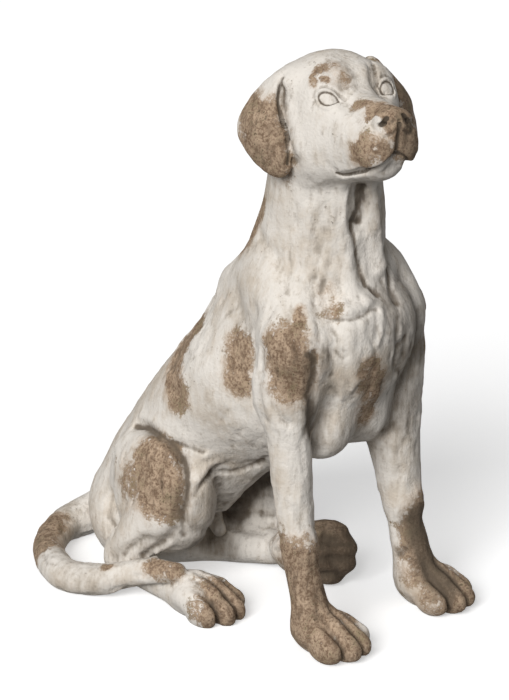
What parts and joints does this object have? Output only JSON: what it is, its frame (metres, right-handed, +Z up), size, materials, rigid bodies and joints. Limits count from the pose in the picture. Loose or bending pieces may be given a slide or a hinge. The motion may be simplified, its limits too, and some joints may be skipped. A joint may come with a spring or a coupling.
{
  "type": "garden statue",
  "caption": "Seated hound garden statue, head raised and turned, forelegs straight, tail curled round one side, weathered limewashed finish.",
  "frame": {"origin": "on the ground, under the middle of the figure's bounding box", "axes": "+Z up, -Y the way the dog's chest faces, +X towards its own left side"},
  "size_m": [0.2997, 0.4904, 0.6207],
  "materials": {
    "limewashed_clay": "matte"
  },
  "bodies": {
    "root": {"dog": "limewashed_clay"}
  },
  "joints": []
}
